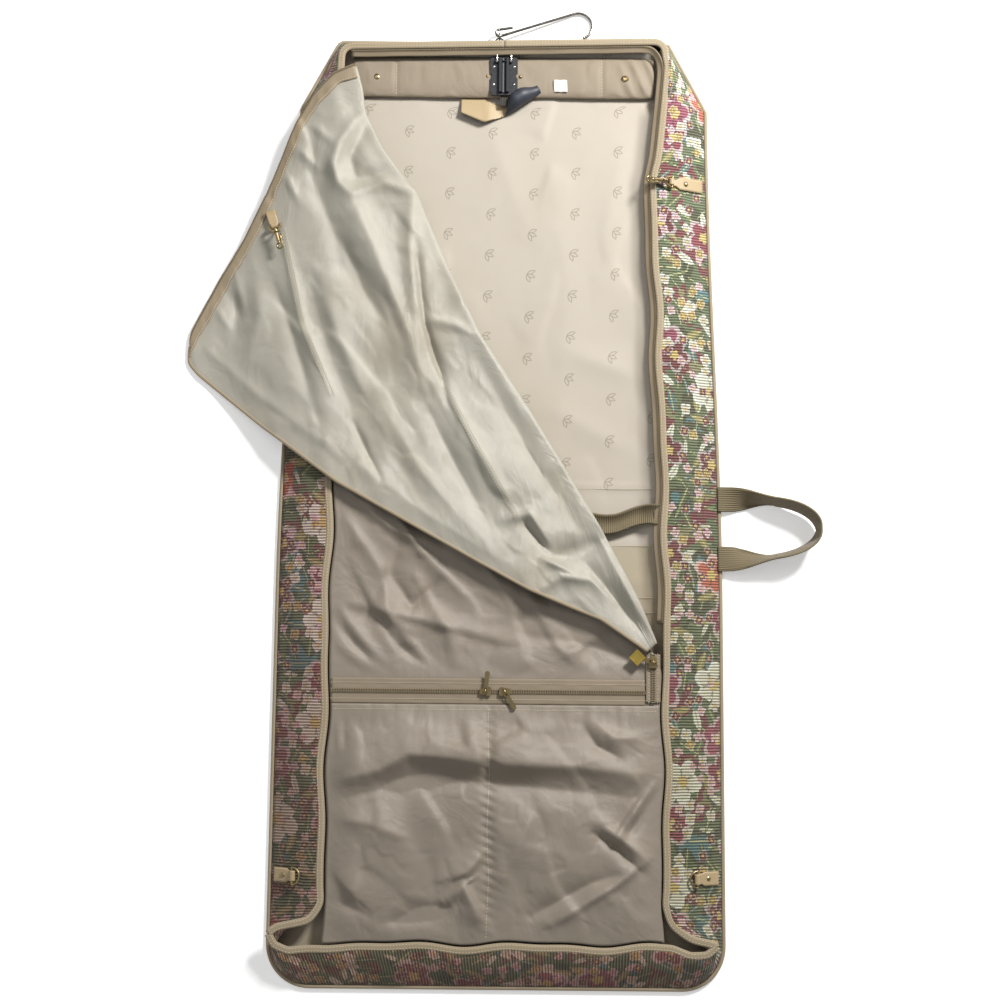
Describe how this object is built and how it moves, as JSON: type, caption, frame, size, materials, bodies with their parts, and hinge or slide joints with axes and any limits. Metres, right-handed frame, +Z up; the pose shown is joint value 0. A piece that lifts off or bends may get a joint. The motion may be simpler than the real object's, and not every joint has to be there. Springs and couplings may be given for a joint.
{
  "type": "garment bag",
  "caption": "Folding garment bag of floral tapestry cloth lying open on its back, cover half turned back, with zips, hanger bracket, hook, snap hooks and handle.",
  "frame": {"origin": "middle of the back panel's underside, on the floor", "axes": "+X to the right, +Y towards the hanging hook, +Z up out of the open bag"},
  "size_m": [0.7716, 1.1942, 0.0398],
  "materials": {
    "tapestry": "floral tapestry weave",
    "lining": "plain lining cloth",
    "cover": "pale satin inner face",
    "pocket_cloth": "taupe nylon",
    "binding": "stitched binding tape",
    "zip_tape": "woven zip tape",
    "zip_coil": "nylon zip coil",
    "board": "stiffener board",
    "bracket_plastic": "dark moulded plastic",
    "strap": "black webbing",
    "vinyl": "vinyl band",
    "webbing": "ribbed webbing",
    "tag_cloth": "blank satin tag",
    "bright_wire": "plated",
    "dark_wire": "darkened steel wire",
    "brass": "pale brass plate"
  },
  "bodies": {
    "bag": {"back_panel": "tapestry", "back_lining": "lining", "gusset_left": "tapestry", "gusset_right": "tapestry", "gusset_bottom": "tapestry", "gusset_top": "tapestry", "outer_piping": "binding", "binding_left": "binding", "binding_right": "binding", "binding_bottom": "binding", "front_cover": "cover", "flap_zip_tape": "zip_tape", "rim_zip_tape": "zip_tape", "pocket_panel": "pocket_cloth", "pocket_zip_tape": "zip_tape", "pocket_zip_coil": "zip_coil", "main_zip": "zip_coil", "header_sleeve": "lining", "header_board": "board", "hanger_bracket": "bracket_plastic", "bracket_rivets": "bright_wire", "side_studs": "brass", "header_snaps": "bright_wire", "tongue": "vinyl", "bracket_strap": "strap", "inner_strap": "webbing", "carry_handle": "webbing", "care_tag": "tag_cloth", "hook_tab_right": "vinyl", "hook_tab_left": "vinyl", "ring_tab_right": "vinyl", "ring_tab_left": "vinyl", "tab_rivets": "brass", "hook_staple": "dark_wire"},
    "bail": {"hanger_bail": "bright_wire"},
    "link": {"hook_link": "dark_wire"},
    "hook": {"hanging_hook": "dark_wire"},
    "bow_right": {"snap_bow_right": "brass"},
    "snap_right": {"snap_hook_right": "brass"},
    "bolt_right": {"snap_bolt_right": "brass"},
    "bow_left": {"snap_bow_left": "brass"},
    "snap_left": {"snap_hook_left": "brass"},
    "bolt_left": {"snap_bolt_left": "brass"},
    "ring_right": {"d_ring_right": "brass"},
    "ring_left": {"d_ring_left": "brass"},
    "slider_left": {"pocket_slider_left": "brass"},
    "pull_left": {"pocket_pull_left": "brass"},
    "slider_right": {"pocket_slider_right": "brass"},
    "pull_right": {"pocket_pull_right": "brass"},
    "zip_runner": {"main_slider": "brass"},
    "zip_pull": {"main_pull": "brass", "pull_fob": "brass"}
  },
  "joints": [
    {"name": "bail_hinge", "type": "hinge", "parent": "bag", "child": "bail", "pos_m": [0, 0.545, 0.0184], "axis": [1, 0, 0], "range_deg": [0, 140]},
    {"name": "link_hinge", "type": "hinge", "parent": "bag", "child": "link", "pos_m": [-0.006, 0.5766, 0.013], "axis": [1, 0, 0], "range_deg": [0, 80]},
    {"name": "hook_swing", "type": "hinge", "parent": "link", "child": "hook", "pos_m": [-0.006, 0.5848, 0.01098], "axis": [0.0734, 0.0267, 0.9969], "range_deg": [0, 120]},
    {"name": "bow_hinge_right", "type": "hinge", "parent": "bag", "child": "bow_right", "pos_m": [0.20748, 0.388, 0.02805], "axis": [0.0698, 0.9976, 0], "range_deg": [0, 70]},
    {"name": "swivel_right", "type": "hinge", "parent": "bow_right", "child": "snap_right", "pos_m": [0.20748, 0.388, 0.03285], "axis": [-0.9976, 0.0698, 0], "continuous": true},
    {"name": "bolt_slide_right", "type": "slide", "parent": "snap_right", "child": "bolt_right", "axis": [0.9976, -0.0698, 0], "range_m": [0, 0.0032], "stiffness_N_per_m": 120},
    {"name": "bow_hinge_left", "type": "hinge", "parent": "bag", "child": "bow_left", "pos_m": [-0.27871, 0.32849, 0.02566], "axis": [-0.9511, -0.309, 0], "range_deg": [0, 70]},
    {"name": "swivel_left", "type": "hinge", "parent": "bow_left", "child": "snap_left", "pos_m": [-0.27886, 0.32893, 0.03043], "axis": [0.3076, -0.9466, 0.0971], "continuous": true},
    {"name": "bolt_slide_left", "type": "slide", "parent": "snap_left", "child": "bolt_left", "axis": [-0.3076, 0.9466, -0.0971], "range_m": [0, 0.0032], "stiffness_N_per_m": 120},
    {"name": "ring_hinge_right", "type": "hinge", "parent": "bag", "child": "ring_right", "pos_m": [0.2335, -0.447, 0.024], "axis": [0, 1, 0], "range_deg": [0, 110]},
    {"name": "ring_hinge_left", "type": "hinge", "parent": "bag", "child": "ring_left", "pos_m": [-0.237, -0.447, 0.024], "axis": [0, -1, 0], "range_deg": [0, 110]},
    {"name": "slider_run_left", "type": "slide", "parent": "bag", "child": "slider_left", "axis": [-1, 0, 0], "range_m": [0, 0.16]},
    {"name": "pull_hinge_left", "type": "hinge", "parent": "slider_left", "child": "pull_left", "pos_m": [-0.015, -0.233, 0.0304], "axis": [0.9945, -0.1045, 0], "range_deg": [0, 150]},
    {"name": "slider_run_right", "type": "slide", "parent": "bag", "child": "slider_right", "axis": [1, 0, 0], "range_m": [0, 0.145]},
    {"name": "pull_hinge_right", "type": "hinge", "parent": "slider_right", "child": "pull_right", "pos_m": [0.008, -0.233, 0.0304], "axis": [-0.866, -0.5, 0], "range_deg": [0, 150]},
    {"name": "main_run", "type": "slide", "parent": "bag", "child": "zip_runner", "axis": [0, -1, 0], "range_m": [0, 0.034]},
    {"name": "main_pull_hinge", "type": "hinge", "parent": "zip_runner", "child": "zip_pull", "pos_m": [0.18232, -0.197, 0.0304], "axis": [0.2588, 0.9659, 0], "range_deg": [0, 110]}
  ]
}
